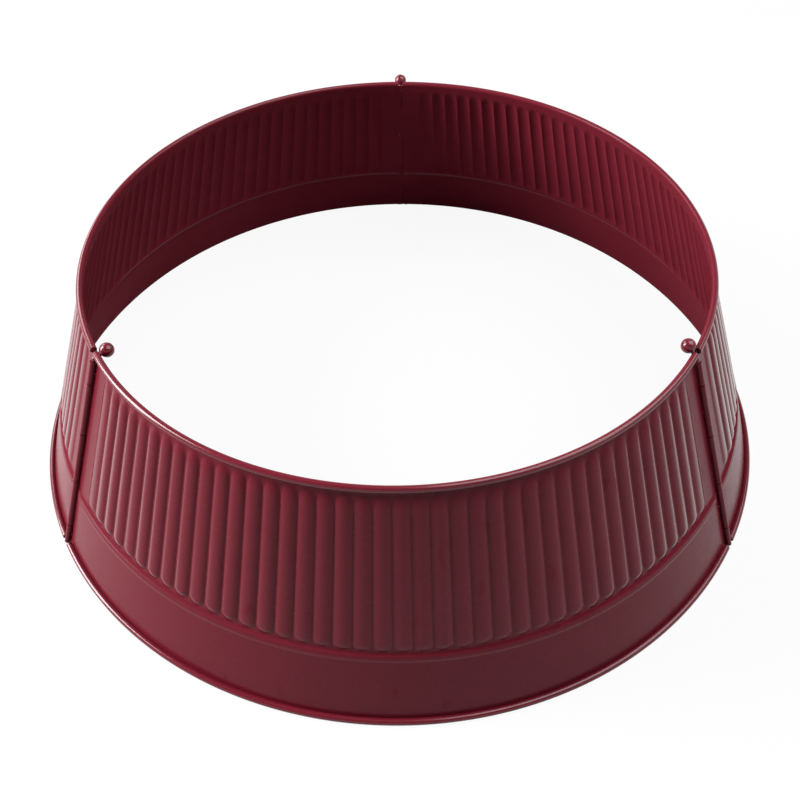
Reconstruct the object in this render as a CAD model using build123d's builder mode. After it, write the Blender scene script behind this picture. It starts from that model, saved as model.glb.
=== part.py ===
"""Tree collar: a tapered ring of three ribbed sheet-metal panels, hinged to each other.

The ring stands on the floor around the foot of a tree. Its axis is Z, the floor is z = 0,
and the three seams lie at 90, 210 and 330 degrees around it. All sizes are in millimetres.
"""

import os
from math import asin, atan, cos, degrees, radians, sin, sqrt, tan

from build123d import *

os.makedirs("parts", exist_ok=True)

# Overall sizes of the closed ring
base_diameter = 660.0
top_diameter = 522.0
ring_height = 197.2

# Painted sheet and its rolled rims
sheet = 0.9
rim_bead_diameter = 5.4
rim_bead_slot = 0.5
rim_foot_setback = 5.0
rim_joint_rise = 1.5
foot_flat_depth = 0.25

# Pressed ribs, and the field that they stand in
rib_count = 40
rib_field_share = 0.928
rib_height = 2.4
rib_end_run = 4.0
rib_foot_gap = 2.0
rib_head_gap = 2.0
field_recess = 0.6

# Plain band under the ribs, with a ledge on top
ledge_top_height = 61.0
ledge_drop = 4.2
band_swell = 1.4

# Hinges: knuckles rolled from the panel edges, along a straight slanted axis
pin_diameter = 3.2
pin_running_clearance = 0.1
knuckle_end_gap = 1.0
sheet_edge_gap = 0.1
end_knuckle_length = 21.8
hinge_floor_gap = 0.6
hinge_top_drop = 7.5

# Hinge pins: a wire with a bent neck, and a ball pressed on its end
pin_foot_inset = 1.0
neck_corner_rise = 2.6
neck_bend_radius = 4.0
ball_diameter = 11.4
ball_socket_depth = 5.0
ball_socket_floor_gap = 0.3
ball_press_interference = 0.01

# The three panels by the direction of their middle, and the three pins by their seam
panel_angle = 120.0
panel_middles = {"front_panel": 270.0, "left_panel": 150.0, "right_panel": 30.0}
pin_seams = {"front_left_pin": 210.0, "front_right_pin": 330.0, "back_pin": 90.0}
panel_with_hooks = "right_panel"

# How far the ends of the top rim stand back from each seam
rim_head_setbacks = {90.0: 2.2, 210.0: 2.6, 330.0: 2.6}

# The three necks were bent by hand: rise of each ball over its hinge, and reach inside it
ball_rises = {"front_left_pin": 8.9, "front_right_pin": 14.0, "back_pin": 3.8}
ball_reaches = {"front_left_pin": 9.0, "front_right_pin": 5.2, "back_pin": -9.0}

# Derived sizes of the tapered wall
bead_radius = rim_bead_diameter / 2
base_bead_radius = base_diameter / 2 - bead_radius
base_bead_height = bead_radius - foot_flat_depth
top_bead_radius = top_diameter / 2 - bead_radius
top_bead_height = ring_height - bead_radius
taper = (base_bead_radius - top_bead_radius) / (top_bead_height - base_bead_height)
tilt = atan(taper)
level_sheet = sheet / cos(tilt)
low_joint_height = base_bead_height + bead_radius + rim_joint_rise
high_joint_height = top_bead_height - bead_radius - rim_joint_rise
ledge_bottom_height = ledge_top_height - ledge_drop
rib_foot_height = ledge_top_height + rib_foot_gap
rib_head_height = high_joint_height - rib_head_gap

# Derived sizes of the hinges
pin_radius = pin_diameter / 2
bore_radius = pin_radius + pin_running_clearance
knuckle_radius = bore_radius + sheet
edge_setback = sqrt((knuckle_radius + sheet_edge_gap) ** 2 - bore_radius**2)
hinge_start = (hinge_floor_gap + knuckle_radius * sin(tilt)) / cos(tilt)
hinge_end = (top_bead_height - hinge_top_drop) / cos(tilt)
long_knuckle_length = (hinge_end - hinge_start - 2 * end_knuckle_length) / 3
knuckle_lengths = [end_knuckle_length] + [long_knuckle_length] * 3 + [end_knuckle_length]


def wall_radius(height):
    """Outside radius of the plain sheet at a height, where it is level with the seams."""
    foot_radius = base_bead_radius - (bead_radius - sheet) / cos(tilt)
    return foot_radius - (height - base_bead_height) * taper


def rim_end_angle(height, middle_angle, side):
    """Angle from the middle of a panel to one end of its rims, for a wall height."""
    share = (height - low_joint_height) / (high_joint_height - low_joint_height)
    head_setback = rim_head_setbacks[(middle_angle + side * panel_angle / 2) % 360]
    setback = rim_foot_setback + (head_setback - rim_foot_setback) * share
    return panel_angle / 2 - degrees(asin(setback / wall_radius(height)))


def polar(radius, angle):
    """Point of a ring plane, its angle in degrees from the middle of the panel."""
    return Vector(radius * cos(radians(angle)), radius * sin(radians(angle)))


def seam_corner(radius, side):
    """Point of a ring plane where the sheet of a panel ends beside a seam."""
    seam_angle = side * panel_angle / 2
    return polar(radius, seam_angle) + polar(edge_setback, seam_angle - side * 90)


def hinge_plane(seam_angle):
    """Plane across a hinge: x along the ring, y towards the inside, z up the hinge axis."""
    outwards = Vector(cos(radians(seam_angle)), sin(radians(seam_angle)), 0)
    along_ring = Vector(-sin(radians(seam_angle)), cos(radians(seam_angle)), 0)
    up_axis = outwards * -sin(tilt) + Vector(0, 0, cos(tilt))
    foot = outwards * (wall_radius(0) + bore_radius / cos(tilt))
    return Plane(origin=foot, x_dir=along_ring, z_dir=up_axis)


def pin_plane(seam_angle):
    """Plane through a hinge axis: x towards the inside of the ring, y up the axis."""
    across = hinge_plane(seam_angle)
    return Plane(origin=across.origin, x_dir=across.y_dir, z_dir=across.x_dir)


def wall_face(middle_angle, height, step, rise):
    """Level cut through a panel: seam tab, margin, arcs of the field, margin, seam tab.

    A sketch would merge the arcs of a cut that has no ribs, and then the cuts could not be
    lofted to each other, so this face is made from its edges.
    """
    plain = wall_radius(height)
    half_field = panel_angle / 2 * rib_field_share
    arc_angle = 2 * half_field / rib_count
    edges = []
    for depth in (0, level_sheet):
        flat = plain - depth
        field = flat + step
        for side in (-1, 1):
            tab_angle = rim_end_angle(height, middle_angle, side)
            margin_angle = (tab_angle + half_field) / 2
            tab = polar(flat, side * tab_angle)
            field_end = polar(field, side * half_field)
            edges.append(Line(seam_corner(flat, side), tab))
            edges.append(Bezier(tab, polar(field, side * margin_angle), field_end))
        for arc in range(rib_count):
            start = arc * arc_angle - half_field
            end = start + arc_angle
            crest = polar(field + rise, (start + end) / 2)
            edges.append(ThreePointArc(polar(field, start), crest, polar(field, end)))
    for side in (-1, 1):
        edges.append(Line(seam_corner(plain, side), seam_corner(plain - level_sheet, side)))
    return Pos(0, 0, height) * Rot(0, 0, middle_angle) * Face(Wire(edges))


def foot_tab_face(middle_angle, height, side):
    """Level cut through the seam tab where it runs on down past the end of the bottom rim."""
    across = (cos(radians(middle_angle)), sin(radians(middle_angle)), 0)
    level = Plane(origin=(0, 0, height), x_dir=across, z_dir=(0, 0, 1))
    outer = wall_radius(height)
    inner = outer - level_sheet
    tab_angle = side * rim_end_angle(low_joint_height, middle_angle, side)
    with BuildSketch(level, mode=Mode.PRIVATE) as face:
        with BuildLine():
            Polyline(
                seam_corner(outer, side),
                polar(outer, tab_angle),
                polar(inner, tab_angle),
                seam_corner(inner, side),
                close=True,
            )
        make_face()
    return face.sketch


def rim_face(middle_angle, centre_radius, centre_height, joint_height):
    """Upright cut through a rolled rim, with the strip of sheet that joins it to the wall."""
    start = radians(middle_angle - rim_end_angle(joint_height, middle_angle, -1))
    upright = Plane(origin=(0, 0, 0), x_dir=(cos(start), sin(start), 0), z_dir=(sin(start), -cos(start), 0))
    outwards = Vector(cos(tilt), sin(tilt))
    towards_wall = Vector(-sin(tilt), cos(tilt))
    if joint_height < centre_height:
        towards_wall = towards_wall * -1
    centre = Vector(centre_radius, centre_height)
    outer_foot = centre - outwards * (bead_radius - sheet)
    inner_foot = centre - outwards * bead_radius
    slot_foot = outer_foot + outwards * rim_bead_slot
    outer_joint = Vector(wall_radius(joint_height), joint_height)
    inner_joint = outer_joint - Vector(level_sheet, 0)
    slot_depth = towards_wall * bead_radius
    with BuildSketch(upright, mode=Mode.PRIVATE) as face:
        with Locations(centre):
            Circle(bead_radius)
            Circle(bead_radius - sheet, mode=Mode.SUBTRACT)
        with BuildLine():
            Polyline(
                outer_foot, slot_foot, slot_foot + slot_depth, outer_foot + slot_depth, close=True
            )
        make_face(mode=Mode.SUBTRACT)
        with BuildLine():
            Polyline(outer_foot, outer_joint, inner_joint, inner_foot, close=True)
        make_face()
        with Locations((centre_radius, 0)):
            Rectangle(
                rim_bead_diameter,
                rim_bead_diameter,
                align=(Align.CENTER, Align.MAX),
                mode=Mode.SUBTRACT,
            )
    return face.sketch


def knuckle_face(plane, side, hooked):
    """Cut through a rolled knuckle and its arm, for a panel on one side of the hinge.

    A hooked knuckle has a mouth as wide as its bore, on the side away from its own panel,
    between a lip that ends short of the other panel's sheet and a lip that passes outside it.
    """
    arm_start = side * sqrt(knuckle_radius**2 - bore_radius**2)
    arm_end = side * edge_setback
    with BuildSketch(plane, mode=Mode.PRIVATE) as face:
        with BuildLine():
            around = ThreePointArc(
                (arm_start, bore_radius), (-side * knuckle_radius, 0), (0, knuckle_radius)
            )
            Polyline(
                around @ 1,
                (arm_end, knuckle_radius),
                (arm_end, bore_radius),
                around @ 0,
            )
        make_face()
        Circle(bore_radius, mode=Mode.SUBTRACT)
        if hooked:
            with Locations((-side * knuckle_radius / 2, 0)):
                Rectangle(knuckle_radius, 2 * bore_radius, mode=Mode.SUBTRACT)
            lip_level = bore_radius + sheet / 2
            lips = [(edge_setback - sheet_edge_gap, lip_level), (knuckle_radius, -lip_level)]
            for reach, level in lips:
                with Locations((-side * reach / 2, level)):
                    Rectangle(reach, sheet)
    return face.sketch


# Panels: wall, two rolled rims, and the knuckles of both edges
for name, middle in panel_middles.items():
    wall_cuts = [
        (low_joint_height, 0, 0),
        (ledge_bottom_height, band_swell, 0),
        (ledge_top_height, -field_recess, 0),
        (rib_foot_height, -field_recess, 0),
        (rib_foot_height + rib_end_run, -field_recess, rib_height),
        (rib_head_height - rib_end_run, -field_recess, rib_height),
        (rib_head_height, -field_recess, 0),
        (high_joint_height, 0, 0),
    ]
    rims = [
        (base_bead_radius, base_bead_height, low_joint_height),
        (top_bead_radius, top_bead_height, high_joint_height),
    ]
    wall_faces = [wall_face(middle, height, step, rise) for height, step, rise in wall_cuts]
    with BuildPart() as panel:
        loft(sections=wall_faces, ruled=True)
        for centre_radius, centre_height, joint_height in rims:
            revolve(
                rim_face(middle, centre_radius, centre_height, joint_height),
                axis=Axis.Z,
                revolution_arc=sum(rim_end_angle(joint_height, middle, side) for side in (-1, 1)),
            )
        for side in (1, -1):
            tab_faces = [foot_tab_face(middle, height, -side) for height in (hinge_floor_gap, low_joint_height)]
            loft(sections=tab_faces, ruled=True)
            seam = middle - side * panel_angle / 2
            hooked = name == panel_with_hooks and side == -1
            knuckle_foot = hinge_start
            for knuckle, length in enumerate(knuckle_lengths):
                if (knuckle % 2 == 0) == (side == 1):
                    knuckle_plane = hinge_plane(seam).offset(knuckle_foot)
                    extrude(knuckle_face(knuckle_plane, side, hooked), amount=length - knuckle_end_gap)
                knuckle_foot += length
    panel.part.label = name
    export_step(panel.part, "parts/" + name + ".step")

# Pins: a straight wire with a bent neck above the hinge, and the ball on top of it
wire_stop = ball_diameter / 2 - ball_socket_depth
for name, seam in pin_seams.items():
    neck_angle = atan(ball_reaches[name] / (ball_rises[name] - neck_corner_rise))
    neck_bend_run = neck_bend_radius * tan(abs(neck_angle) / 2)
    side_plane = pin_plane(seam)
    corner = side_plane.from_local_coords(Vector(0, hinge_end + neck_corner_rise))
    centre = side_plane.from_local_coords(Vector(ball_reaches[name], hinge_end + ball_rises[name]))
    up_shank = side_plane.y_dir
    up_neck = (centre - corner).normalized()
    shank_foot = side_plane.from_local_coords(Vector(0, hinge_start + pin_foot_inset))
    bend_start = corner - up_shank * neck_bend_run
    bend_end = corner + up_neck * neck_bend_run
    with BuildPart() as wire:
        with BuildLine():
            Line(shank_foot, bend_start)
            TangentArc(bend_start, bend_end, tangent=up_shank)
            Line(bend_end, centre - up_neck * wire_stop)
        with BuildSketch(Plane(origin=shank_foot, x_dir=side_plane.x_dir, z_dir=up_shank)):
            Circle(pin_radius)
        sweep()
    wire.part.label = name + "_wire"
    export_step(wire.part, "parts/" + name + "_wire.step")

    ball_plane = Plane(origin=centre, x_dir=side_plane.z_dir, z_dir=-up_neck)
    with BuildPart(ball_plane) as ball:
        Sphere(ball_diameter / 2)
        with Locations((0, 0, ball_diameter / 2)):
            Cylinder(
                pin_radius - ball_press_interference,
                ball_socket_depth + ball_socket_floor_gap,
                align=(Align.CENTER, Align.CENTER, Align.MAX),
                mode=Mode.SUBTRACT,
            )
    ball.part.label = name + "_ball"
    export_step(ball.part, "parts/" + name + "_ball.step")
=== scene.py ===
"""Tree collar in painted sheet metal: three ribbed panels that are hinged into a tapered ring.

Lengths are in metres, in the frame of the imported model: the floor is z = 0, the axis of the
ring is Z, and the front panel faces -Y.
"""

from math import asin, atan, cos, degrees, pi, radians, sin, sqrt, tan
from typing import NamedTuple

import bmesh
import bpy
from bpy.props import FloatProperty, FloatVectorProperty, IntProperty, PointerProperty
from bpy.types import Operator, Panel, PropertyGroup
from mathutils import Matrix, Vector


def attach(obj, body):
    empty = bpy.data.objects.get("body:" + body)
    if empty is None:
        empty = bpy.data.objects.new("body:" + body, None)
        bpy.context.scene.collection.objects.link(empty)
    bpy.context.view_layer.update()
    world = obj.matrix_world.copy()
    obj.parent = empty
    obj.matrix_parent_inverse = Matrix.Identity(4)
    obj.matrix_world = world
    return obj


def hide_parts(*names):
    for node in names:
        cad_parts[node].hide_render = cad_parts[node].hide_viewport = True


bl_info = {
    "name": "Tree Collar",
    "version": (1, 0, 0),
    "blender": (4, 5, 0),
    "location": "3D View > Sidebar > Tree Collar",
    "description": "Ribbed panels, rolled hinges and ball-topped pins of a folding tree collar",
    "category": "Object",
}

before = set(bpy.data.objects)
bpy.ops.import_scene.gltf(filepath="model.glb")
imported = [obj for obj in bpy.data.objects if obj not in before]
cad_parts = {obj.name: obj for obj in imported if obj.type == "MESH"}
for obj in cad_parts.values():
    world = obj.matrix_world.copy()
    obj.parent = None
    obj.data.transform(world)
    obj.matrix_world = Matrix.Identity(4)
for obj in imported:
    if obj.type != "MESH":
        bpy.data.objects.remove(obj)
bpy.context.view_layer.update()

# The three panels by body name and the direction of their middle, in degrees
PANELS = {"front_panel": 270.0, "left_panel": 150.0, "right_panel": 30.0}
PANEL_WITH_HOOKS = "right_panel"
HALF_PANEL = 60.0

# The three pins by body name: direction of the seam, rise of the ball over the hinge and its
# reach inside the hinge. The necks are bent by hand, so they differ.
PINS = {
    "front_left_pin": (210.0, 0.0089, 0.0090),
    "front_right_pin": (330.0, 0.0140, 0.0052),
    "back_pin": (90.0, 0.0038, -0.0090),
}

# The seam whose pin leans outwards, so that the sheets close over it inside the ring
CLOSED_SEAM = 90.0

# Values that a mesh carries for its geometry tree, removed once the tree has run
ACROSS = "across"
SWELL = "swell"
RIB_END = "rib_end"
OUTWARD = "outward"
FREE = "free"
KNUCKLE_TURN = "knuckle_turn"
KNUCKLE_LENGTH = "knuckle_length"
WORKING_VALUES = (ACROSS, SWELL, RIB_END, OUTWARD, FREE, KNUCKLE_TURN, KNUCKLE_LENGTH)

# Values that a mesh keeps for its paint
RELIEF = "relief"
GLOSS = "gloss"
INSIDE = "inside"

# A rib has faded out where its end value is 1, so this is well past its end
NO_RIB = 2.0

# Columns over one rib, as shares of its width, closer together beside the valleys, and the
# number of columns over the margin beside a seam
RIB_COLUMNS = (0.0, 0.045, 0.11, 0.22, 0.36, 0.5, 0.64, 0.78, 0.89, 0.955)
MARGIN_COLUMNS = 9

# Rows up the wall: step beside the rims, lowest and highest row of the band, and the numbers
# of steps on the band, over the ledge, at a rib's end, along a rib and round a rim
RIM_STEP = 0.0012
BAND_ROWS = (0.0080, 0.0524)
BAND_STEPS = 6
LEDGE_STEPS = 15
RIB_END_STEPS = 8
RIB_LENGTH_STEPS = 12
RIM_TURN_STEPS = 15

# Height over a rim's middle from which the sheet is free of it, in bead diameters
RIM_HOLD = 0.62

# Gloss of the fine ridge, and how much of it is missing on the inside of the sheet
RIDGE_GLOSS = 0.6
INSIDE_RIDGE_LOSS = 0.4

# How fast the gloss of a rim and of a curl falls off towards the inside of the ring
RIM_GLOSS_FALL = 1.5
CURL_GLOSS_FALL = 1.5

# The closed end of a rim's bead: depth into the bead, and share of the radius inside its sheet
BEAD_END = ((0.0003, 0.0), (0.0003, 0.8), (0.0006, 0.97), (0.005, 0.97), (0.005, 0.0))
BEAD_END_POINTS = 20

# How uneven the ribs are: from rib to rib, along a rib, and in the last rib beside a seam
RIB_CHANCE = 0.55
RIB_WANDER = 1.6
LAST_RIB_LOSS = 0.35

# Scales of the noise along a rib and of the sheet's slow waves, and how far apart two seeds lie
WANDER_SCALE = 14.0
BUCKLE_SCALE = 8.0
SEED_STEP = 3.7

# Scales of the paint's clouds, mottle and scuffs, and of the orange peel on panels and pins
CLOUD_SCALE = 9.0
MOTTLE_SCALE = 85.0
SCUFF_SCALE = 3.0
PANEL_PEEL = 900.0
PIN_PEEL = 1400.0

# Ranges in which the noise scuffs the paint, a view counts as glancing, and the backdrop gets
# dark with height
SCUFF_RANGE = (0.62, 0.78)
GLANCING_RANGE = (0.48, 0.68)
BACKDROP_RANGE = (0.30, 0.65)

# Least angles between two faces for a crisp edge, on the sheet and on a pin
CRISP_ON_SHEET = radians(80)
CRISP_ON_PIN = radians(60)

# A tack: share of its radius and rise in radii, width and height, and its place in shares of
# the knuckle's radius along the ring and of the bore's inwards
TACK_SECTION = ((1.0, -0.25), (0.93, 0.05), (0.78, 0.22), (0.52, 0.36), (0.24, 0.43))
TACK_STRETCH = (0.8, 1.25)
TACK_PLACE = (0.92, 0.78)
TACK_POINTS = 18

# The rounded foot of a wire: rise in radii, and share of the radius
WIRE_FOOT = ((0.0, 0.55), (0.25, 0.88), (0.6, 1.0))

# The collar under a ball: share of the wire's radius, and rise in the ball's radii
BALL_COLLAR = ((0.98, -1.20), (1.03, -1.14), (1.14, -1.06))

# Where a ball starts, in radii of the wire, and where the wire ends in it, in diameters
BALL_NECK = 1.4
WIRE_END = 0.1

# Steps along a curl, a neck and a ball, and points round a wire and a ball
CURL_STEPS = 40
NECK_STEPS = 8
BALL_STEPS = 26
WIRE_POINTS = 24
BALL_POINTS = 48

# The lamps: azimuth, elevation, distance, width and height, and level on a white card
LAMPS = {
    "Left softbox": (181, 28, 1.9, (0.8, 1.5), 2.6),
    "Back left softbox": (140, 30, 1.9, (0.8, 0.8), 0.4),
    "Right softbox": (4, 60, 1.9, (1.8, 1.8), 1.55),
    "Overhead softbox": (90, 84, 2.0, (1.2, 1.2), 0.05),
}
LAMP_AIM = Vector((0, 0, 0.1))
CAMERA_TARGET = Vector((0.00102, 0, 0.00576))
FLOOR_REACH = 12.0


def length(name, description, default):
    """A length property in metres."""
    return FloatProperty(
        name=name, description=description, default=default, unit="LENGTH", precision=5
    )


def number(name, description, default):
    """A property that is a plain number."""
    return FloatProperty(name=name, description=description, default=default)


def angle(name, description, default):
    """An angle property, its default given in degrees."""
    return FloatProperty(
        name=name, description=description, default=radians(default), subtype="ANGLE"
    )


def tint(name, description, default):
    """A colour property."""
    return FloatVectorProperty(
        name=name, description=description, default=default, size=3, subtype="COLOR"
    )


class SheetSizes(PropertyGroup):
    """Sizes of the tapered wall and its rolled rims."""

    base_diameter: length("Base diameter", "Width of the ring over its bottom rim", 0.660)
    top_diameter: length("Top diameter", "Width of the ring over its top rim", 0.522)
    ring_height: length("Height", "Height of the ring over both rims", 0.1972)
    sheet: length("Sheet", "Thickness of the painted sheet", 0.0009)
    bead_diameter: length("Rim bead", "Diameter of the rolled rims", 0.0054)
    foot_setback: length("Bottom rim end", "From a seam to the end of the bottom rim", 0.005)
    head_setback: length("Top rim end", "From a seam to the end of the top rim", 0.0026)
    foot_flat: length("Foot flat", "Height that is flat under the bottom rim", 0.00025)
    roll_turn: angle("Roll end", "Angle at which a rim's roll ends, from straight outwards", 128)


class RibSizes(PropertyGroup):
    """Sizes of the pressed ribs, and of the ledge and the band under them."""

    count: IntProperty(name="Ribs", description="Ribs of one panel", default=40, min=1)
    field_share: number("Ribbed share", "Share of a panel's angle that has ribs", 0.928)
    height: length("Rib height", "Height of a rib over the valleys beside it", 0.0024)
    crown: number("Crown", "Fullness of a rib; 2 is an arc", 2.4)
    foot: length("Rib foot", "Height of the ribs' lower ends over the floor", 0.0627)
    head: length("Rib head", "Height of the ribs' upper ends over the floor", 0.1880)
    foot_run: length("Foot run", "Length over which a rib rounds off at its foot", 0.0075)
    head_run: length("Head run", "Length over which a rib fades out at its head", 0.0130)
    margin_fullness: number("Margin fullness", "How soon a margin reaches its full depth", 4.0)
    recess: length("Recess", "Depth of the valleys inside the level of the seams", 0.0006)
    swell: length("Band swell", "How far the band stands out under the ledge", 0.0014)
    swell_head: length("Swell head", "Height at which the band stands out in full", 0.0556)
    ledge_foot: length("Ledge foot", "Height at which the slope of the ledge starts", 0.0596)
    ledge_head: length("Ledge head", "Height at which the slope of the ledge ends", 0.0615)
    ledge_edge: length("Ledge edge", "Height over which the slope turns matt", 0.0006)
    ridge: length("Ridge", "How far the fine ridge under the ledge stands out", 0.00028)
    ridge_top: length("Ridge top", "Height of the fine ridge over the floor", 0.0562)
    ridge_width: length("Ridge width", "Half of the width of the fine ridge", 0.0015)
    unevenness: number("Unevenness", "Share by which the ribs vary", 0.30)
    buckle: length("Buckle", "Depth of the slow waves in the sheet", 0.0007)
    seed: IntProperty(name="Seed", description="Seed of the ribs' variation", default=7)


class HingeSizes(PropertyGroup):
    """Sizes of the knuckles and the pins."""

    pin_diameter: length("Pin wire", "Diameter of the hinge wire", 0.0032)
    clearance: length("Clearance", "Radial play of the wire in its knuckles", 0.0001)
    end_gap: length("Knuckle gap", "Gap between two knuckles", 0.001)
    edge_gap: length("Edge gap", "Gap between a knuckle and the other panel's edge", 0.0001)
    closed_head: length("Closed rim end", "From the closed seam to the end of a top rim", 0.0022)
    closed_gap: length("Closed gap", "From the closed seam to a sheet over its pin", 0.0002)
    end_knuckle: length("End knuckle", "Length of the highest and the lowest knuckle", 0.0218)
    floor_gap: length("Floor gap", "Gap between the lowest knuckle and the floor", 0.0006)
    top_drop: length("Top drop", "From the top rim's middle down to the knuckles", 0.0075)
    curl_end: angle("Curl end", "Angle at which a knuckle's curl ends", 34)
    foot_inset: length("Pin inset", "Distance of a pin's lower end inside its knuckle", 0.001)
    corner_rise: length("Neck corner", "Rise of the neck's corner over the knuckles", 0.0026)
    bend_radius: length("Neck bend", "Radius of the neck's bend", 0.004)
    ball_diameter: length("Ball", "Diameter of the ball", 0.0114)
    tack_diameter: length("Tack", "Width of the tack that holds a curl shut", 0.0022)


class PaintLook(PropertyGroup):
    """Colours and finish of the paint."""

    colour: tint("Burgundy", "Colour of the paint", (0.118, 0.0075, 0.0165))
    # The deep colour also carries painted shade: all but the crowns of the ribs take more of it, so the
    # crowns are painted lighter
    deep_colour: tint("Deep burgundy", "Colour of thick paint", (0.092, 0.0055, 0.0125))
    roughness: number("Roughness", "Roughness of the panels' paint", 0.26)
    specular: number("Sheen", "Strength of the satin reflections", 0.07)
    inside_roughness: number("Inside roughness", "Roughness added inside the ring", 0.60)
    coat_roughness: number("Coat roughness", "Roughness of the gloss", 0.14)
    wall_gloss: number("Wall gloss", "Share of gloss on the walls", 0.10)
    rib_gloss: number("Rib gloss", "Gloss added on the crowns of the ribs", 0.1)
    glancing_gloss: number("Glancing gloss", "The same, seen at a glancing angle", 0.9)
    rim_gloss: number("Rim gloss", "Share of gloss on the rolled rims", 0.5)
    pin_roughness: number("Pin roughness", "Roughness of the pins' paint", 0.2)
    pin_gloss: number("Pin gloss", "Share of gloss on the pins", 0.65)
    peel: length("Peel", "Depth of the paint's fine orange peel", 0.00001)


class StageLook(PropertyGroup):
    """Floor, light and camera."""

    floor_colour: tint("Floor", "Colour of the floor", (0.55, 0.55, 0.55))
    floor_lift: number("Floor lift", "Share of plain white in what is seen of the floor", 0.92)
    world_level: number("Surroundings", "Light of the surroundings", 0.02)
    background: number("Background", "Brightness seen behind the floor", 0.90)
    ceiling: number("Ceiling", "Brightness seen overhead", 0.12)
    lens: number("Lens", "Focal length of the camera in millimetres", 45.48)
    distance: length("Distance", "Distance from the camera to its target", 0.97706)
    elevation: angle("Elevation", "Angle of the camera above the floor", 46.724)
    turn: angle("Turn", "Angle of the camera about the ring's axis", 1.229)
    roll: angle("Roll", "Roll of the camera", -0.7523)


class CollarSettings(PropertyGroup):
    """All settings of the tree collar."""

    sheet: PointerProperty(type=SheetSizes)
    ribs: PointerProperty(type=RibSizes)
    hinge: PointerProperty(type=HingeSizes)
    paint: PointerProperty(type=PaintLook)
    stage: PointerProperty(type=StageLook)


# Node trees


class Value:
    """A socket of a node tree that takes part in Python arithmetic, for shaders and geometry."""

    def __init__(self, graph, socket):
        self.graph = graph
        self.socket = socket

    def maths(self, operation, *others, clamp=False):
        """A Math node with this value first."""
        values = dict(enumerate((self, *others)))
        return self.graph.node("ShaderNodeMath", values, operation=operation, use_clamp=clamp)

    def reflected(self, operation, other):
        """A Math node with this value second."""
        return self.graph.node("ShaderNodeMath", {0: other, 1: self}, operation=operation)

    def clamped(self):
        """The value kept between 0 and 1."""
        return self.maths("ADD", 0.0, clamp=True)

    def mapped(self, start, end, low=0.0, high=1.0, curve="LINEAR"):
        """The value taken from one range to another one, and kept within it."""
        values = {"Value": self, "From Min": start, "From Max": end, "To Min": low, "To Max": high}
        return self.graph.node("ShaderNodeMapRange", values, interpolation_type=curve)

    def __add__(self, other):
        return self.maths("ADD", other)

    def __sub__(self, other):
        return self.maths("SUBTRACT", other)

    def __rsub__(self, other):
        return self.reflected("SUBTRACT", other)

    def __mul__(self, other):
        return self.maths("MULTIPLY", other)

    def __truediv__(self, other):
        return self.maths("DIVIDE", other)

    def __rtruediv__(self, other):
        return self.reflected("DIVIDE", other)

    def __pow__(self, other):
        return self.maths("POWER", other)

    def __rpow__(self, other):
        return self.reflected("POWER", other)

    def __abs__(self):
        return self.maths("ABSOLUTE")

    __radd__ = __add__
    __rmul__ = __mul__


class Graph:
    """A node tree in the making."""

    def __init__(self, tree):
        self.tree = tree

    def feed(self, socket, value):
        """Links a value to a socket, or sets the socket to it."""
        if isinstance(value, Value):
            self.tree.links.new(value.socket, socket)
        else:
            socket.default_value = value

    def node(self, kind, values=None, output=0, **settings):
        """A new node, its settings made and its sockets fed, as the value of one output."""
        made = self.tree.nodes.new(kind)
        for name, setting in settings.items():
            setattr(made, name, setting)
        for name, value in (values or {}).items():
            self.feed(made.inputs[name], value)
        return Value(self, made.outputs[output]) if made.outputs else None


class GeometryGraph(Graph):
    """A geometry tree in the making, with its named inputs, of which one is its paint."""

    def __init__(self, name, inputs):
        super().__init__(bpy.data.node_groups.new(name, "GeometryNodeTree"))
        new_socket = self.tree.interface.new_socket
        new_socket("Geometry", in_out="INPUT", socket_type="NodeSocketGeometry")
        for input_name, kind in {**inputs, "Paint": "Material"}.items():
            new_socket(input_name, in_out="INPUT", socket_type="NodeSocket" + kind)
        new_socket("Geometry", in_out="OUTPUT", socket_type="NodeSocketGeometry")

    def given(self, name):
        """One of the tree's inputs."""
        return self.node("NodeGroupInput", output=name)

    def named(self, name, kind="FLOAT"):
        """A named value of the mesh."""
        return self.node("GeometryNodeInputNamedAttribute", {"Name": name}, "Attribute", data_type=kind)

    def close(self, geometry):
        """Ends the tree: smooth faces with crisp corners, real geometry, its paint."""
        smooth = self.node("GeometryNodeSetShadeSmooth", {"Geometry": geometry})
        corner = self.node("GeometryNodeInputMeshEdgeAngle", output="Unsigned Angle")
        sharp = corner.maths("GREATER_THAN", CRISP_ON_SHEET)
        edges = {"Geometry": smooth, "Selection": sharp, "Shade Smooth": False}
        crisp = self.node("GeometryNodeSetShadeSmooth", edges, domain="EDGE")
        real = self.node("GeometryNodeRealizeInstances", {"Geometry": crisp})
        faces = {"Geometry": real, "Material": self.given("Paint")}
        self.node("NodeGroupOutput", {0: self.node("GeometryNodeSetMaterial", faces)})
        return self.tree


def empty_graph(owner):
    """The cleared shader nodes of a material or a world."""
    owner.use_nodes = True
    owner.node_tree.nodes.clear()
    return Graph(owner.node_tree)


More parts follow.
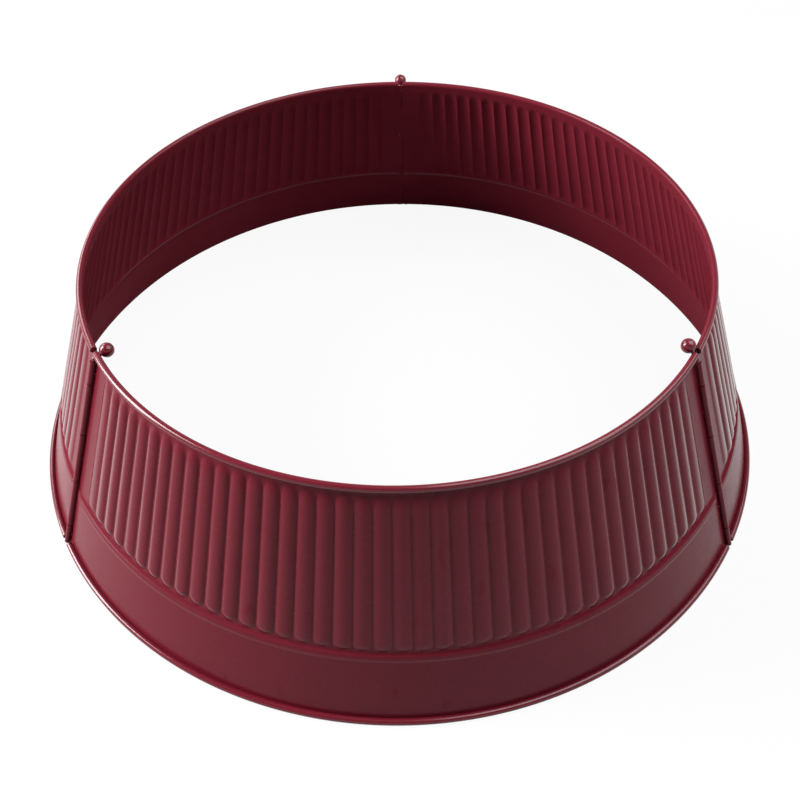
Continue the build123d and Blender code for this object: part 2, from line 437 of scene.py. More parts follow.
def paint(name, look, finish):
    """Sprayed satin paint: thick and thin places, painted light on the crowns of the ribs, fine orange
    peel, faint scuffs.

    The finish is (scale of the peel, roughness, share of gloss). The values on the mesh say
    where the ribs stand out, where a rim is glossy, and where the sheet faces inwards.
    """
    peel_scale, base_roughness, gloss = finish
    material = bpy.data.materials.new(name)
    graph = empty_graph(material)

    def noise(vector, scale, detail):
        return graph.node("ShaderNodeTexNoise", {"Vector": vector, "Scale": scale, "Detail": detail})

    def attribute(value_name):
        return graph.node("ShaderNodeAttribute", output="Fac", attribute_name=value_name)

    place = graph.node("ShaderNodeTexCoord", output="Object")
    upright = graph.node("ShaderNodeMapping", {"Vector": place, "Scale": (34.0, 34.0, 5.0)})
    cloud = noise(place, CLOUD_SCALE, 3.0)
    mottle = noise(place, MOTTLE_SCALE, 4.0)
    grain = noise(place, peel_scale, 2.0)
    scuff = noise(upright, SCUFF_SCALE, 6.0).mapped(*SCUFF_RANGE)
    relief = attribute(RELIEF)
    inside = attribute(INSIDE)
    # Painted light: the crowns of the ribs take less of the deep colour, so they are lighter than the
    # valleys and the band
    tones_with_crown_light = {
        "Factor": (cloud * 0.6 + mottle * 0.4 - relief * 0.12).clamped(),
        "A": (*look.colour, 1),
        "B": (*look.deep_colour, 1),
    }
    roughness = (cloud - 0.5) * 0.10 + (mottle - 0.5) * 0.12 + scuff * 0.05 + base_roughness
    bumps = {"Strength": 0.5, "Distance": look.peel, "Height": grain * 0.7 + mottle * 0.6}
    facing = graph.node("ShaderNodeLayerWeight", {"Blend": 0.5}, "Facing")
    glancing = facing.mapped(*GLANCING_RANGE, look.rib_gloss, look.glancing_gloss, "SMOOTHSTEP")
    on_wall = (1 - inside) * (relief * glancing + gloss)
    coating = {
        "Base Color": graph.node("ShaderNodeMix", tones_with_crown_light, "Result", data_type="RGBA"),
        "Roughness": roughness + inside * look.inside_roughness,
        "Normal": graph.node("ShaderNodeBump", bumps),
        "Specular IOR Level": look.specular,
        "Coat Weight": (attribute(GLOSS) * look.rim_gloss + on_wall - scuff * 0.2).clamped(),
        "Coat Roughness": look.coat_roughness,
    }
    shader = graph.node("ShaderNodeBsdfPrincipled", coating)
    graph.node("ShaderNodeOutputMaterial", {"Surface": shader})
    return material


def sheet_paint(look):
    """The paint of the panels and their knuckles, made once."""
    finish = (PANEL_PEEL, look.roughness, look.wall_gloss)
    return bpy.data.materials.get("Burgundy paint") or paint("Burgundy paint", look, finish)


# Geometry of the ring


def spread(first, last, steps):
    """Evenly spaced numbers from the first to the last, both included."""
    return [first + (last - first) * step / steps for step in range(steps + 1)]


def full_circle(count):
    """Evenly spaced angles once round."""
    return [2 * pi * step / count for step in range(count)]


def clamp(value):
    """A number kept between 0 and 1."""
    return min(max(value, 0.0), 1.0)


class Wall:
    """The tapered wall of the closed ring, with places given up the wall and out of it."""

    def __init__(self, sheet):
        bead = sheet.bead_diameter / 2
        self.base_bead = Vector((sheet.base_diameter / 2 - bead, bead - sheet.foot_flat))
        self.top_bead = Vector((sheet.top_diameter / 2 - bead, sheet.ring_height - bead))
        along = self.top_bead - self.base_bead
        self.tilt = atan(-along.x / along.y)
        self.up = Vector((-sin(self.tilt), cos(self.tilt)))
        self.out = Vector((cos(self.tilt), sin(self.tilt)))
        level_foot = self.base_bead - self.out * (bead - sheet.sheet)
        self.floor_radius = level_foot.x + level_foot.y * tan(self.tilt)
        self.base_up = self.up_of(self.base_bead)
        self.top_up = self.up_of(self.top_bead)
        self.low_free = self.base_bead.y + sheet.bead_diameter * RIM_HOLD
        self.high_free = self.top_bead.y - sheet.bead_diameter * RIM_HOLD

    def up_of(self, place):
        """Distance up the wall of a (radius, height) place."""
        return (place - Vector((self.floor_radius, 0))).dot(self.up)

    def up_at(self, height):
        """Distance up the wall of a height."""
        return height / cos(self.tilt)

    def place(self, up, out):
        """(radius, height) at a distance up the wall and out of its outside face."""
        return Vector((self.floor_radius, 0)) + self.up * up + self.out * out

    def towards(self, turn):
        """Direction at an angle from straight out of the wall, in a section of the ring."""
        return self.up * sin(turn) + self.out * cos(turn)


def spin(place, direction):
    """Point in space of a (radius, height) place in a direction in degrees."""
    turn = radians(direction)
    return Vector((place.x * cos(turn), place.x * sin(turn), place.y))


class Hinge:
    """A hinge's own frame: x along the ring, y towards the inside, z up the slanted axis."""

    def __init__(self, settings, seam):
        wall = Wall(settings.sheet)
        hinge = settings.hinge
        turn = radians(seam)
        outwards = Vector((cos(turn), sin(turn), 0))
        self.bore = hinge.pin_diameter / 2 + hinge.clearance
        self.knuckle = self.bore + settings.sheet.sheet
        self.edge = sqrt((self.knuckle + hinge.edge_gap) ** 2 - self.bore**2)
        along_ring = Vector((-sin(turn), cos(turn), 0))
        up_axis = outwards * -sin(wall.tilt) + Vector((0, 0, cos(wall.tilt)))
        foot = outwards * (wall.floor_radius + self.bore / cos(wall.tilt))
        self.turn = Matrix((along_ring, up_axis.cross(along_ring), up_axis)).transposed()
        self.matrix = Matrix.Translation(foot) @ self.turn.to_4x4()
        self.start = (hinge.floor_gap + self.knuckle * sin(wall.tilt)) / cos(wall.tilt)
        self.end = (wall.top_bead.y - hinge.top_drop) / cos(wall.tilt)
        middle = (self.end - self.start - 2 * hinge.end_knuckle) / 3
        self.lengths = [hinge.end_knuckle, middle, middle, middle, hinge.end_knuckle]

    def knuckles(self, first):
        """(foot, length) of every second knuckle, from the first or the second one."""
        foot = self.start
        for count, knuckle_length in enumerate(self.lengths):
            if count % 2 == first:
                yield foot, knuckle_length
            foot += knuckle_length


class Row(NamedTuple):
    """A row along the sheet's path: its (radius, height) on both faces, and its values.

    The setbacks are the distances of its ends from a seam whose pin is bent inwards, and from
    the seam that closes over its pin. The swell is how far the row stands out. The end value is
    0 along the ribs and 1 where they have faded out. A free row isn't held by a rim.
    """

    outside: Vector
    inside: Vector
    setbacks: tuple
    swell: float = 0.0
    rib_end: float = NO_RIB
    free: float = 0.0
    matt: float = 0.0
    gloss: float = 0.0


def wall_heights(wall, ribs):
    """Heights of the rows between the rims, closer together where the sheet is bent."""
    rib_foot = ribs.foot + ribs.foot_run
    rib_head = ribs.head - ribs.head_run
    past_rib = 0.0004
    below_ridge = 0.0016
    past_ledge = 0.0003
    return [
        wall.base_bead.y + RIM_STEP,
        wall.base_bead.y + 2 * RIM_STEP,
        wall.low_free,
        *spread(*BAND_ROWS, BAND_STEPS),
        *spread(ribs.ridge_top - below_ridge, ribs.ledge_head + past_ledge, LEDGE_STEPS),
        ribs.ledge_head + ribs.ledge_edge,
        *spread(ribs.foot - past_rib, rib_foot, RIB_END_STEPS),
        *spread(rib_foot, rib_head, RIB_LENGTH_STEPS)[1:-1],
        *spread(rib_head, ribs.head + past_rib, RIB_END_STEPS),
        wall.high_free,
        wall.top_bead.y - 2 * RIM_STEP,
        wall.top_bead.y - RIM_STEP,
    ]


def wall_swell(height, wall, ribs):
    """How far the sheet stands out without its ribs: the band, the ledge and the recess."""
    if not wall.low_free < height < wall.high_free:
        return 0.0
    if height > ribs.ledge_head:
        return -ribs.recess
    if height > ribs.ledge_foot:
        share = (height - ribs.ledge_foot) / (ribs.ledge_head - ribs.ledge_foot)
        return ribs.swell - (ribs.swell + ribs.recess) * share
    return ribs.swell * clamp((height - wall.low_free) / (ribs.swell_head - wall.low_free))


def wall_row(height, wall, settings):
    """The row of the wall at a height."""
    ribs = settings.ribs
    hinge = Hinge(settings, 0)
    setback = settings.sheet.head_setback if height > wall.high_free else hinge.edge
    over_hinge = height > hinge.end * cos(wall.tilt)
    ridge = clamp(1 - abs(height - ribs.ridge_top) / ribs.ridge_width)
    past_foot = 1 - (height - ribs.foot) / ribs.foot_run
    past_head = 1 - (ribs.head - height) / ribs.head_run
    on_slope = min(height - ribs.ledge_foot, ribs.ledge_head + ribs.ledge_edge - height)
    up = wall.up_at(height)
    return Row(
        outside=wall.place(up, 0),
        inside=wall.place(up, -settings.sheet.sheet),
        setbacks=(setback, settings.hinge.closed_gap if over_hinge else setback),
        swell=wall_swell(height, wall, ribs) + ribs.ridge * (3 - 2 * ridge) * ridge**2,
        rib_end=min(max(past_foot, past_head, 0.0), NO_RIB),
        free=float(wall.low_free < height < wall.high_free),
        matt=clamp(on_slope / ribs.ledge_edge),
        gloss=ridge * RIDGE_GLOSS,
    )


def rim_rows(centre, turns, setbacks, wall, sheet):
    """Rows round the bead of a rim, which is glossy but for the side towards the ring's axis."""
    bead = sheet.bead_diameter / 2
    rows = []
    for turn in turns:
        hidden = centre + wall.towards(turn) * (bead - sheet.sheet)
        shown = centre + wall.towards(turn) * bead
        shown.y = max(shown.y, 0.0)
        gloss = clamp(1 + RIM_GLOSS_FALL * cos(turn))
        rows.append(Row(hidden, shown, setbacks, gloss=gloss))
    return rows


def sheet_path(wall, settings):
    """The rows of the sheet, from the end of the bottom roll, up the wall, to that of the top."""
    sheet = settings.sheet
    foot_setbacks = (sheet.foot_setback,) * 2
    head_setbacks = (sheet.head_setback, settings.hinge.closed_head)
    over_pin = (sheet.head_setback, settings.hinge.closed_gap)
    low_turns = spread(sheet.roll_turn, -pi, RIM_TURN_STEPS)[:-1]
    high_turns = spread(pi, -sheet.roll_turn, RIM_TURN_STEPS)[1:]

    def plain(up, setbacks):
        return Row(wall.place(up, 0), wall.place(up, -sheet.sheet), setbacks)

    return [
        *rim_rows(wall.base_bead, low_turns, foot_setbacks, wall, sheet),
        plain(wall.base_up, foot_setbacks),
        *(wall_row(height, wall, settings) for height in wall_heights(wall, settings.ribs)),
        plain(wall.top_up, over_pin),
        *rim_rows(wall.top_bead, high_turns, head_setbacks, wall, sheet),
    ]


def skin(rings):
    """The faces between rings of equal length; a ring of one point closes an end."""
    for one, two in zip(rings, rings[1:]):
        count = max(len(one), len(two))
        for step in range(count):
            follow = (step + 1) % count
            corners = (
                one[step % len(one)],
                one[follow % len(one)],
                two[follow % len(two)],
                two[step % len(two)],
            )
            yield tuple(dict.fromkeys(corners))


def store(mesh, name, numbers, kind="FLOAT"):
    """Gives every point of a mesh a named value."""
    field = "vector" if kind == "FLOAT_VECTOR" else "value"
    mesh.attributes.new(name, kind, "POINT").data.foreach_set(field, numbers)


class Blank:
    """A panel before its ribs are pressed, as points with their values, and faces."""

    def __init__(self, wall, middle):
        self.wall = wall
        self.middle = middle
        self.points = []
        self.outward = []
        self.faces = []
        self.values = {name: [] for name in (ACROSS, INSIDE, GLOSS, SWELL, RIB_END, FREE)}

    def point(self, place, across, inside=0.0, gloss=0.0, swell=0.0, rib_end=NO_RIB, free=0.0):
        """Adds a (radius, height) place, degrees across from the middle; gives its number."""
        self.points.append(tuple(spin(place, self.middle + across)))
        self.outward.extend(spin(self.wall.out, self.middle + across))
        for numbers, value in zip(self.values.values(), (across, inside, gloss, swell, rib_end, free)):
            numbers.append(value)
        return len(self.points) - 1

    def closes(self, side):
        """Whether the panel's seam on a side is the one that closes over its pin."""
        return (self.middle + side * HALF_PANEL) % 360 == CLOSED_SEAM

    def close(self, rings, flip):
        """Adds the faces between rings of points, and over those ends that are rings."""
        faces = list(skin(rings))
        faces += [tuple(ring) for ring in (rings[0][::-1], rings[-1]) if len(ring) > 1]
        self.faces += [face[::-1] if flip else face for face in faces]

    def made(self, name):
        """The blank as an object."""
        mesh = bpy.data.meshes.new(name)
        mesh.from_pydata(self.points, [], self.faces)
        for value_name, numbers in self.values.items():
            store(mesh, value_name, numbers)
        store(mesh, OUTWARD, self.outward, "FLOAT_VECTOR")
        return bpy.data.objects.new(name, mesh)


def columns_across(row, blank, ribs):
    """Where the points of a row lie, in degrees across from the middle of the panel."""
    half_field = HALF_PANEL * ribs.field_share
    margins = []
    for side in (-1, 1):
        end = HALF_PANEL - degrees(row.setbacks[blank.closes(side)] / row.outside.x)
        margins.append([side * across for across in spread(end, half_field, MARGIN_COLUMNS)[:-1]])
    shares = [(rib + part) / ribs.count * 2 - 1 for rib in range(ribs.count) for part in RIB_COLUMNS]
    return margins[0] + [share * half_field for share in (*shares, 1.0)] + margins[1][::-1]


def add_sheet(blank, settings):
    """The wall and its rolled rims, as one sheet with two faces and four edges."""
    sides = ([], [])
    for side in (0, 1):
        for row in sheet_path(blank.wall, settings):
            gloss = row.gloss * (1 - INSIDE_RIDGE_LOSS * side * row.free)
            inside = max(side * (1 - gloss), row.matt)
            place = row.inside if side else row.outside
            values = (inside, gloss, row.swell, row.rib_end, row.free)
            across = columns_across(row, blank, settings.ribs)
            sides[side].append([blank.point(place, column, *values) for column in across])
    blank.faces += skin([outside + inside[::-1] for outside, inside in zip(*sides)])
    for end, flip in ((0, True), (-1, False)):
        outside = sides[0][end]
        inside = sides[1][end]
        for column in range(len(outside) - 1):
            quad = (outside[column], outside[column + 1], inside[column + 1], inside[column])
            blank.faces.append(quad[::-1] if flip else quad)


def add_seam_tab(blank, side, settings):
    """The foot of the sheet between the bottom rim's end and the knuckles, on one side."""
    wall = blank.wall
    overlap = 0.0004
    near = Hinge(settings, 0).edge
    far = settings.sheet.foot_setback + overlap
    inner = -settings.sheet.sheet
    rings = []
    for up in (wall.up_at(settings.hinge.floor_gap), wall.base_up + RIM_STEP):
        ring = []
        for out, setback in ((0, near), (0, far), (inner, far), (inner, near)):
            place = wall.place(up, out)
            across = side * (HALF_PANEL - degrees(setback / place.x))
            ring.append(blank.point(place, across, inside=1.0 if out else 0.0))
        rings.append(ring)
    blank.close(rings, flip=side == 1)


def add_bead_end(blank, bead, setback, side, sheet):
    """The closed end of a rim's bead, inside its sheet."""
    radius = sheet.bead_diameter / 2 - sheet.sheet
    rings = []
    for depth, share in BEAD_END:
        across = side * (HALF_PANEL - degrees((setback + depth) / bead.x))
        turns = full_circle(BEAD_END_POINTS) if share else (0,)
        places = [bead + blank.wall.towards(turn) * radius * share for turn in turns]
        rings.append([blank.point(place, across) for place in places])
    blank.close(rings, flip=side == -1)


def panel_blank(name, middle, settings):
    """A panel before its ribs are pressed: rolled rims and a plain wall, with the rib values."""
    sheet = settings.sheet
    wall = Wall(sheet)
    blank = Blank(wall, middle)
    add_sheet(blank, settings)
    for side in (-1, 1):
        add_seam_tab(blank, side, settings)
    rims = (
        (wall.base_bead, (sheet.foot_setback,) * 2),
        (wall.top_bead, (sheet.head_setback, settings.hinge.closed_head)),
    )
    for bead, setbacks in rims:
        for side in (-1, 1):
            add_bead_end(blank, bead, setbacks[blank.closes(side)], side, sheet)
    return blank.made(name)


def pressing_tree():
    """Presses the ribs, the ledge and the slow waves of the sheet into a blank."""
    sizes = ("Rib count", "Rib height", "Field angle", "Seam angle", "Crown", "Margin fullness")
    inputs = dict.fromkeys((*sizes, "Unevenness", "Buckle"), "Float")
    graph = GeometryGraph("Pressed ribs", {**inputs, "Seed": "Int"})
    given = graph.given
    named = graph.named
    position = graph.node("GeometryNodeInputPosition")
    seeded = given("Seed") * SEED_STEP

    def noise(shift, scale):
        values = {"Vector": position, "W": seeded + shift, "Scale": scale, "Detail": 1.0}
        return graph.node("ShaderNodeTexNoise", values, noise_dimensions="4D")

    across = named(ACROSS)
    distance = abs(across)
    field_end = given("Field angle")
    margin = 1 - distance.mapped(field_end, given("Seam angle")) ** given("Margin fullness")
    count = given("Rib count")
    turns = (across / field_end * 0.5 + 0.5) * count
    rib = turns.maths("FLOOR")
    from_crown = abs((turns - rib) * 2 - 1)
    rib_end = named(RIB_END)
    pillow = (1 - from_crown ** given("Crown") - rib_end * rib_end).maths("MAXIMUM", 0.0)
    draw = {"ID": graph.node("FunctionNodeFloatToInt", {0: rib}), "Seed": given("Seed")}
    chance = graph.node("FunctionNodeRandomValue", draw, "Value", data_type="FLOAT")
    half_count = (count - 1) * 0.5
    last = (abs(rib - half_count) - half_count).maths("GREATER_THAN", -0.5)
    wander = abs(noise(0.0, WANDER_SCALE) - 0.5)
    uneven = given("Unevenness")
    depth = 1 - chance * uneven * RIB_CHANCE - uneven * wander * RIB_WANDER - last * LAST_RIB_LOSS
    relief = pillow * distance.maths("LESS_THAN", field_end) * depth
    waves = (noise(5.0, BUCKLE_SCALE) - 0.5) * given("Buckle") * named(FREE) * margin
    lift = relief * given("Rib height") + named(SWELL) * margin + waves
    outwards = {"Vector": named(OUTWARD, "FLOAT_VECTOR"), "Scale": lift}
    offset = graph.node("ShaderNodeVectorMath", outwards, "Vector", operation="SCALE")
    shifts = {"Geometry": given("Geometry"), "Offset": offset}
    pressed = graph.node("GeometryNodeSetPosition", shifts)
    marks = {"Geometry": pressed, "Name": RELIEF, "Value": relief}
    marked = graph.node("GeometryNodeStoreNamedAttribute", marks, data_type="FLOAT", domain="POINT")
    return graph.close(marked)


def repeat_tree():
    """Puts a shape at every point, turned and stretched as the point says."""
    graph = GeometryGraph("Repeated along hinges", {"Shape": "Object"})
    shape = {"Object": graph.given("Shape")}
    stretch = {0: 1.0, 1: 1.0, 2: graph.named(KNUCKLE_LENGTH)}
    copies = {
        "Points": graph.node("GeometryNodeMeshToPoints", {0: graph.given("Geometry")}),
        "Instance": graph.node("GeometryNodeObjectInfo", shape, "Geometry", transform_space="ORIGINAL"),
        "Rotation": graph.named(KNUCKLE_TURN, "FLOAT_VECTOR"),
        "Scale": graph.node("ShaderNodeCombineXYZ", stretch),
    }
    placed = graph.node("GeometryNodeInstanceOnPoints", copies)
    return graph.close(graph.node("GeometryNodeRealizeInstances", {"Geometry": placed}))


def linked(name, data):
    """A new object in the scene."""
    piece = bpy.data.objects.new(name, data)
    bpy.context.scene.collection.objects.link(piece)
    return piece


def used_up(piece):
    """Removes an object and its mesh."""
    mesh = piece.data
    bpy.data.objects.remove(piece)
    bpy.data.meshes.remove(mesh)


def made_by_nodes(blank, tree, inputs):
    """A plain mesh object from a blank and a geometry tree; the blank is used up."""
    bpy.context.scene.collection.objects.link(blank)
    modifier = blank.modifiers.new("Made by nodes", "NODES")
    modifier.node_group = tree
    for item in tree.interface.items_tree:
        if item.in_out == "INPUT" and item.name in inputs:
            modifier[item.identifier] = inputs[item.name]
    depsgraph = bpy.context.evaluated_depsgraph_get()
    depsgraph.update()
    mesh = bpy.data.meshes.new_from_object(blank.evaluated_get(depsgraph), depsgraph=depsgraph)
    for value_name in WORKING_VALUES:
        attribute = mesh.attributes.get(value_name)
        if attribute is not None:
            mesh.attributes.remove(attribute)
    name = blank.name
    used_up(blank)
    mesh.name = name
    if not mesh.polygons:
        raise RuntimeError(name + " came out empty")
    return linked(name, mesh)


def closed_mesh(name, bodies):
    """A mesh of closed bodies, each skinned over its rings of places, with its normals out."""
    shape = bmesh.new()
    for body in bodies:
        rings = [[shape.verts.new(place) for place in ring] for ring in body]
        for corners in skin(rings):
            shape.faces.new(corners)
        for ring in (rings[0], rings[-1]):
            if len(ring) > 1:
                shape.faces.new(ring)
    bmesh.ops.recalc_face_normals(shape, faces=shape.faces)
    mesh = bpy.data.meshes.new(name)
    shape.to_mesh(mesh)
    shape.free()
    return mesh


def curl_shape(settings, hooked):
    """One knuckle of unit length: an arm that curls round the pin and ends beside itself.

    A hooked one has a mouth as wide as its bore, on the side away from its own panel,
    between a lip that ends short of the other panel's sheet and a lip that passes outside it.
    """
    hinge = Hinge(settings, 0)

    def around(first, last):
        towards = [Vector((cos(turn), sin(turn))) for turn in spread(first, last, CURL_STEPS)]
        return [(way * hinge.knuckle, way * hinge.bore) for way in towards]

    arm = [((hinge.edge, hinge.knuckle), (hinge.edge, hinge.bore))]
    full_turn = 2 * pi + settings.hinge.curl_end
    if hooked:
        lip = settings.hinge.edge_gap - hinge.edge
        arm.append(((lip, hinge.knuckle), (lip, hinge.bore)))
        hook = [((-hinge.knuckle, -hinge.knuckle), (-hinge.knuckle, -hinge.bore))]
        paths = [arm, hook + around(1.5 * pi, full_turn)]
    else:
        paths = [arm + around(0.5 * pi, full_turn)]
    bodies = [
        [[(*outer, 0), (*outer, 1), (*inner, 1), (*inner, 0)] for outer, inner in path]
        for path in paths
    ]
    mesh = closed_mesh("Curl", bodies)
    inwards = [point.co.y / hinge.knuckle for point in mesh.vertices]
    store(mesh, INSIDE, [clamp(CURL_GLOSS_FALL * share) for share in inwards])
    return bpy.data.objects.new("Curl", mesh)


def tack_shape(settings):
    """A tack of weld and paint: a low dome with an uneven skirt, of unit height stretch."""
    radius = settings.hinge.tack_diameter / 2
    width, height = TACK_STRETCH
    rings = []
    for share, rise in TACK_SECTION:
        ring = []
        for turn in full_circle(TACK_POINTS):
            uneven = 1 + 0.07 * sin(3 * turn + 1.0) + 0.04 * sin(5 * turn)
            reach = radius * share * uneven
            ring.append((reach * cos(turn) * width, -rise * radius, reach * sin(turn) * height))
        rings.append(ring)
    return bpy.data.objects.new("Tack", closed_mesh("Tack", [rings]))


def repeated(name, shape, points, material):
    """The shape at each (place, turn, stretch), as one plain mesh; the shape is used up."""
    mesh = bpy.data.meshes.new(name)
    mesh.from_pydata([tuple(place) for place, _, _ in points], [], [])
    turns = [part for _, turn, _ in points for part in turn.to_euler("XYZ")]
    store(mesh, KNUCKLE_TURN, turns, "FLOAT_VECTOR")
    store(mesh, KNUCKLE_LENGTH, [stretch for _, _, stretch in points])
    tree = bpy.data.node_groups.get("Repeated along hinges") or repeat_tree()
    inputs = {"Shape": shape, "Paint": material}
    piece = made_by_nodes(bpy.data.objects.new(name, mesh), tree, inputs)
    used_up(shape)
    return piece


def hinge_sides(middle):
    """(seam, first knuckle, side) of a panel's two upright edges."""
    return ((middle - HALF_PANEL, 0, 1), (middle + HALF_PANEL, 1, -1))


class PinLine:
    """The line of a pin in its hinge's frame: up the hinge, round a bend and along its neck."""

    def __init__(self, body, settings):
        seam, rise, reach = PINS[body]
        sizes = settings.hinge
        self.hinge = Hinge(settings, seam)
        self.sizes = sizes
        self.radius = sizes.pin_diameter / 2
        self.neck = atan(reach / (rise - sizes.corner_rise))
        self.corner = Vector((0, 0, self.hinge.end + sizes.corner_rise))
        self.centre = Vector((0, reach, self.hinge.end + rise))
        self.up_neck = (self.centre - self.corner).normalized()

    def ring(self, place, ahead, radius, count):
        """Points round a place on the line, which lies in the plane x = 0."""
        sideways = Vector((1, 0, 0))
        across = ahead.cross(sideways).normalized()
        towards = [sideways * cos(turn) + across * sin(turn) for turn in full_circle(count)]
        return [self.hinge.matrix @ (place + way * radius) for way in towards]

    def wire_rings(self):
        """Rings of the wire: a rounded foot, the bend and the neck into the ball."""
        up = Vector((0, 0, 1))
        foot = self.hinge.start + self.sizes.foot_inset
        path = [
            (up * (foot + self.radius * rise), up, self.radius * share)
            for rise, share in WIRE_FOOT
        ]
        bend = self.sizes.bend_radius
        lean = 1 if self.neck > 0 else -1
        run = bend * tan(abs(self.neck) / 2)
        bend_centre = self.corner + Vector((0, bend * lean, -run))
        for turn in spread(0, self.neck, NECK_STEPS):
            towards = Vector((0, -cos(turn), sin(turn))) * lean
            ahead = Vector((0, sin(turn), cos(turn)))
            path.append((bend_centre + towards * bend, ahead, self.radius))
        end = self.centre - self.up_neck * self.sizes.ball_diameter * WIRE_END
        path.append((end, self.up_neck, self.radius))
        return [self.ring(*stop, WIRE_POINTS) for stop in path]

    def ball_rings(self):
        """Rings of the ball, from a short collar round the wire up to the pole."""
        ball = self.sizes.ball_diameter / 2
        arc = spread(pi - asin(self.radius * BALL_NECK / ball), 0, BALL_STEPS)[:-1]
        lathe = [(self.radius * share, ball * rise) for share, rise in BALL_COLLAR]
        lathe += [(ball * sin(turn), ball * cos(turn)) for turn in arc]
        rings = [
            self.ring(self.centre + self.up_neck * rise, self.up_neck, reach, BALL_POINTS)
            for reach, rise in lathe
        ]
        return [*rings, [self.hinge.matrix @ (self.centre + self.up_neck * ball)]]


def pin_piece(name, rings, material):
    """A smooth piece of a pin, skinned over its rings."""
    mesh = closed_mesh(name, [rings])
    mesh.shade_smooth()
    mesh.set_sharp_from_angle(angle=CRISP_ON_PIN)
    mesh.materials.append(material)
    return linked(name, mesh)


class TREECOLLAR_OT_panels(Operator):
    """Makes the three ribbed panels with their rolled rims"""

    bl_idname = "tree_collar.make_panels"
    bl_label = "Ribbed panels"

    def execute(self, context):
        settings = context.scene.tree_collar
        ribs = settings.ribs
        seam_setback = Hinge(settings, 0).edge / Wall(settings.sheet).base_bead.x
        tree = pressing_tree()
        for panel, (body, middle) in enumerate(PANELS.items()):
            blank = panel_blank(body + "_sheet", middle, settings)
            inputs = {
                "Rib count": float(ribs.count),
                "Rib height": ribs.height,
                "Field angle": HALF_PANEL * ribs.field_share,
                "Seam angle": HALF_PANEL - degrees(seam_setback),
                "Crown": ribs.crown,
                "Margin fullness": ribs.margin_fullness,
                "Unevenness": ribs.unevenness,
                "Buckle": ribs.buckle,
                "Seed": ribs.seed + panel,
                "Paint": sheet_paint(settings.paint),
            }
            piece = made_by_nodes(blank, tree, inputs)
            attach(piece, body)
            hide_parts(body)
        return {"FINISHED"}


class TREECOLLAR_OT_knuckles(Operator):
    """Makes the rolled knuckles on both edges of every panel"""

    bl_idname = "tree_collar.make_knuckles"
    bl_label = "Rolled knuckles"

    def execute(self, context):
        settings = context.scene.tree_collar
        material = sheet_paint(settings.paint)
        half_turn = Matrix.Rotation(pi, 3, "Y")
        for body, middle in PANELS.items():
            for seam, first, side in hinge_sides(middle):
                hinge = Hinge(settings, seam)
                hooked = body == PANEL_WITH_HOOKS and side == -1
                points = []
                for foot, knuckle_length in hinge.knuckles(first):
                    span = knuckle_length - settings.hinge.end_gap
                    up = foot if side == 1 else foot + span
                    turn = hinge.turn if side == 1 else hinge.turn @ half_turn
                    points.append((hinge.matrix @ Vector((0, 0, up)), turn, span))
                name = body + ("_low_edge" if side == 1 else "_high_edge") + "_knuckles"
                piece = repeated(name, curl_shape(settings, hooked), points, material)
                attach(piece, body)
        return {"FINISHED"}


class TREECOLLAR_OT_tacks(Operator):
    """Makes the tacks that hold the curls of the knuckles shut"""

    bl_idname = "tree_collar.make_tacks"
    bl_label = "Tacks"

    def execute(self, context):
        settings = context.scene.tree_collar
        material = sheet_paint(settings.paint)
        along, inwards = TACK_PLACE
        for body, middle in PANELS.items():
            points = []
            for seam, first, side in hinge_sides(middle):
                if body == PANEL_WITH_HOOKS and side == -1:
                    continue
                hinge = Hinge(settings, seam)
                beside = side * hinge.knuckle * along
                for foot, knuckle_length in hinge.knuckles(first):
                    place = Vector((beside, hinge.bore * inwards, foot + knuckle_length / 2))
                    points.append((hinge.matrix @ place, hinge.turn, 1.0))
            piece = repeated(body + "_tacks", tack_shape(settings), points, material)
            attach(piece, body)
        return {"FINISHED"}


class TREECOLLAR_OT_pins(Operator):
    """Makes the three hinge pins with their bent necks and balls"""

    bl_idname = "tree_collar.make_pins"
    bl_label = "Ball-topped pins"

    def execute(self, context):
        settings = context.scene.tree_collar
        look = settings.paint
        material = paint("Burgundy pin paint", look, (PIN_PEEL, look.pin_roughness, look.pin_gloss))
        for body in PINS:
            line = PinLine(body, settings)
            wire = pin_piece(body + "_shank", line.wire_rings(), material)
            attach(wire, body)
            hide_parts(body + "_wire")
            knob = pin_piece(body + "_knob", line.ball_rings(), material)
            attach(knob, body)
            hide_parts(body + "_ball")
        return {"FINISHED"}


# Floor, light and camera


def area_light(name, azimuth, elevation, distance, size, level):
    """A soft rectangular lamp that faces the ring, by the level at which it lights a white card.

    The azimuth is counted as the seams are, and all angles are in degrees.
    """
    turn = radians(azimuth)
    rise = radians(elevation)
    towards = Vector((cos(turn) * cos(rise), sin(turn) * cos(rise), sin(rise)))
    data = bpy.data.lights.new(name, "AREA")
    data.shape = "RECTANGLE"
    data.size, data.size_y = size
    data.energy = level * (pi * distance) ** 2
    lamp = linked(name, data)
    lamp.location = LAMP_AIM + towards * distance
    lamp.rotation_euler = towards.to_track_quat("Z", "Y").to_euler()


def seen_directly(graph):
    """1 for what the camera, a reflection or a transmission sees."""
    rays = ("Is Camera Ray", "Is Glossy Ray", "Is Transmission Ray")
    camera, glossy, through = (graph.node("ShaderNodeLightPath", output=ray) for ray in rays)
    return camera.maths("MAXIMUM", glossy).maths("MAXIMUM", through)


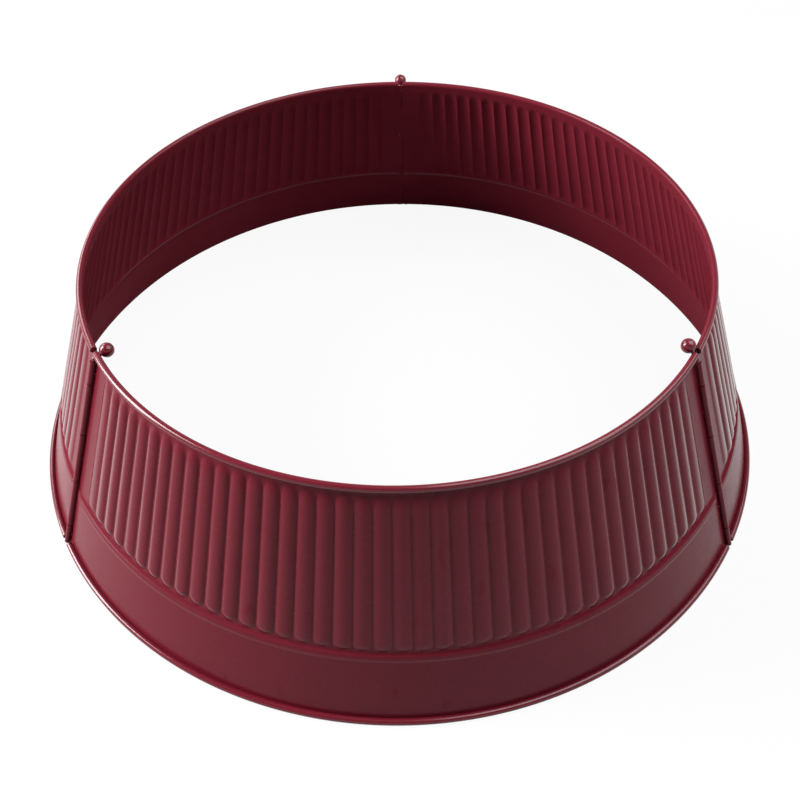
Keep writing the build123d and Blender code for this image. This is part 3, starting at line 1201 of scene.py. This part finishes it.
def pale_floor(look):
    """A wide floor that keeps soft shadows, mixed with plain white where it is seen."""
    mesh = bpy.data.meshes.new("Floor")
    reach = FLOOR_REACH
    corners = [(-reach, -reach, 0), (reach, -reach, 0), (reach, reach, 0), (-reach, reach, 0)]
    mesh.from_pydata(corners, [], [(0, 1, 2, 3)])
    material = bpy.data.materials.new("Pale floor")
    graph = empty_graph(material)
    matt = graph.node("ShaderNodeBsdfDiffuse", {"Color": (*look.floor_colour, 1)})
    white = graph.node("ShaderNodeEmission", {"Color": (1, 1, 1, 1), "Strength": 1.0})
    lift = seen_directly(graph) * look.floor_lift
    mixed = graph.node("ShaderNodeMixShader", {0: lift, 1: matt, 2: white})
    graph.node("ShaderNodeOutputMaterial", {"Surface": mixed})
    mesh.materials.append(material)
    linked("Floor", mesh)


def studio_world(look):
    """Dim surroundings, seen as a white backdrop that turns dark overhead."""
    world = bpy.data.worlds.new("Studio")
    bpy.context.scene.world = world
    graph = empty_graph(world)
    way = graph.node("ShaderNodeTexCoord", output="Generated")
    rise = graph.node("ShaderNodeSeparateXYZ", {"Vector": way}, "Z")
    backdrop = rise.mapped(*BACKDROP_RANGE, look.background, look.ceiling, "SMOOTHSTEP")
    level = seen_directly(graph) * (backdrop - look.world_level) + look.world_level
    light = graph.node("ShaderNodeBackground", {"Color": (1, 1, 1, 1), "Strength": level})
    graph.node("ShaderNodeOutputWorld", {"Surface": light})


def photo_camera(look):
    """The camera at the photograph's viewing angle."""
    forwards = Vector((0, cos(look.elevation), -sin(look.elevation)))
    right = Vector((1, 0, 0))
    up = right.cross(forwards)
    tilted_right = right * cos(look.roll) + up * sin(look.roll)
    tilted_up = up * cos(look.roll) - right * sin(look.roll)
    place = Matrix.Translation(CAMERA_TARGET - forwards * look.distance)
    axes = Matrix((tilted_right, tilted_up, -forwards)).transposed().to_4x4()
    data = bpy.data.cameras.new("Camera")
    data.sensor_width = 36
    data.lens = look.lens
    camera = linked("Camera", data)
    camera.matrix_world = Matrix.Rotation(look.turn, 4, "Z") @ place @ axes
    bpy.context.scene.camera = camera


class TREECOLLAR_OT_stage(Operator):
    """Sets up the pale floor, the soft light and the camera"""

    bl_idname = "tree_collar.make_stage"
    bl_label = "Floor, light and camera"

    def execute(self, context):
        look = context.scene.tree_collar.stage
        pale_floor(look)
        studio_world(look)
        for name, lamp in LAMPS.items():
            area_light(name, *lamp)
        photo_camera(look)
        context.scene.view_settings.view_transform = "Standard"
        return {"FINISHED"}


OPERATORS = (
    TREECOLLAR_OT_panels,
    TREECOLLAR_OT_knuckles,
    TREECOLLAR_OT_tacks,
    TREECOLLAR_OT_pins,
    TREECOLLAR_OT_stage,
)


class TREECOLLAR_PT_sidebar(Panel):
    """The sidebar panel of the tree collar"""

    bl_label = "Tree Collar"
    bl_idname = "TREECOLLAR_PT_sidebar"
    bl_space_type = "VIEW_3D"
    bl_region_type = "UI"
    bl_category = "Tree Collar"

    def draw(self, context):
        settings = context.scene.tree_collar
        for group in (settings.sheet, settings.ribs, settings.hinge, settings.paint, settings.stage):
            box = self.layout.box()
            for name in group.__annotations__:
                box.prop(group, name)
        for operator in OPERATORS:
            self.layout.operator(operator.bl_idname)


GROUPS = (SheetSizes, RibSizes, HingeSizes, PaintLook, StageLook, CollarSettings)
CLASSES = (*GROUPS, *OPERATORS, TREECOLLAR_PT_sidebar)


def register():
    for entry in CLASSES:
        bpy.utils.register_class(entry)
    bpy.types.Scene.tree_collar = PointerProperty(type=CollarSettings)


def unregister():
    del bpy.types.Scene.tree_collar
    for entry in reversed(CLASSES):
        bpy.utils.unregister_class(entry)


def main():
    register()
    bpy.ops.tree_collar.make_panels()
    bpy.ops.tree_collar.make_knuckles()
    bpy.ops.tree_collar.make_tacks()
    bpy.ops.tree_collar.make_pins()
    bpy.ops.tree_collar.make_stage()


if __name__ == "__main__":
    main()
